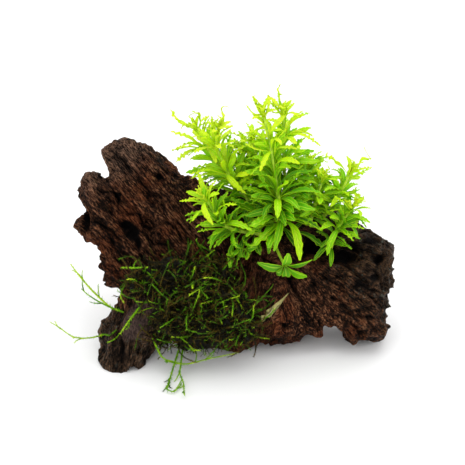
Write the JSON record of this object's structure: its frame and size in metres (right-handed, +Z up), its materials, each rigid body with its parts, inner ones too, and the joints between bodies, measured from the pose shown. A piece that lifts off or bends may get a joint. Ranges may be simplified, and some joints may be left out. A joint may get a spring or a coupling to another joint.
{
  "type": "downoi on driftwood",
  "caption": "Aquarium decoration plant: a bushy crinkle-leaved stem plant and a moss clump growing on a leaning slab of weathered bogwood that rests on its foot and back root.",
  "frame": {"origin": "centre of the bounding box's base, on the surface that the wood rests on", "axes": "+Z up, +X along the wood's length towards its broad right-hand end, -Y towards the side that the plant and the moss face"},
  "size_m": [0.188, 0.1178, 0.1451],
  "materials": {
    "bogwood": "wet, weathered, fibrous",
    "leaf": "soft, waxy, crinkled",
    "stem": "smooth, juicy",
    "moss": "dense wet tufts",
    "moss_shoot": "feathery wet strand",
    "withered": "limp, translucent, crumpled"
  },
  "bodies": {
    "root": {"driftwood_back_root": "bogwood", "driftwood_foot": "bogwood", "driftwood_left_limb": "bogwood", "driftwood_right_limb": "bogwood", "moss_clump": "moss", "moss_strand_1": "moss_shoot", "moss_strand_2": "moss_shoot", "moss_strand_3": "moss_shoot", "moss_strand_4": "moss_shoot", "moss_strand_5": "moss_shoot", "moss_strand_6": "moss_shoot", "moss_strand_7": "moss_shoot", "moss_strand_8": "moss_shoot", "moss_strand_9": "moss_shoot", "moss_strand_10": "moss_shoot", "shoot_1_leaves_1": "leaf", "shoot_1_leaves_2": "leaf", "shoot_1_leaves_3": "leaf", "shoot_1_stem": "stem", "shoot_2_leaves_1": "leaf", "shoot_2_leaves_2": "leaf", "shoot_2_stem": "stem", "shoot_3_leaves_1": "leaf", "shoot_3_leaves_2": "leaf", "shoot_3_leaves_3": "leaf", "shoot_3_leaves_4": "leaf", "shoot_3_stem": "stem", "shoot_4_leaves_1": "leaf", "shoot_4_leaves_2": "leaf", "shoot_4_leaves_3": "leaf", "shoot_4_stem": "stem", "shoot_5_leaves_1": "leaf", "shoot_5_leaves_2": "leaf", "shoot_5_stem": "stem", "shoot_6_leaves_1": "leaf", "shoot_6_leaves_2": "leaf", "shoot_6_stem": "stem", "shoot_7_leaves_1": "leaf", "shoot_7_leaves_2": "leaf", "shoot_7_stem": "stem", "shoot_8_leaves_1": "leaf", "shoot_8_stem": "stem", "shoot_9_leaves_1": "leaf", "shoot_9_stem": "stem", "shoot_10_leaves_1": "leaf", "shoot_10_leaves_2": "leaf", "shoot_10_stem": "stem", "shoot_11_leaves_1": "leaf", "shoot_11_leaves_2": "leaf", "shoot_11_stem": "stem", "shoot_12_leaves_1": "leaf", "shoot_12_leaves_2": "leaf", "shoot_12_stem": "stem", "shoot_13_leaves_1": "leaf", "shoot_13_leaves_2": "leaf", "shoot_13_stem": "stem", "withered_leaf": "withered"}
  },
  "joints": []
}
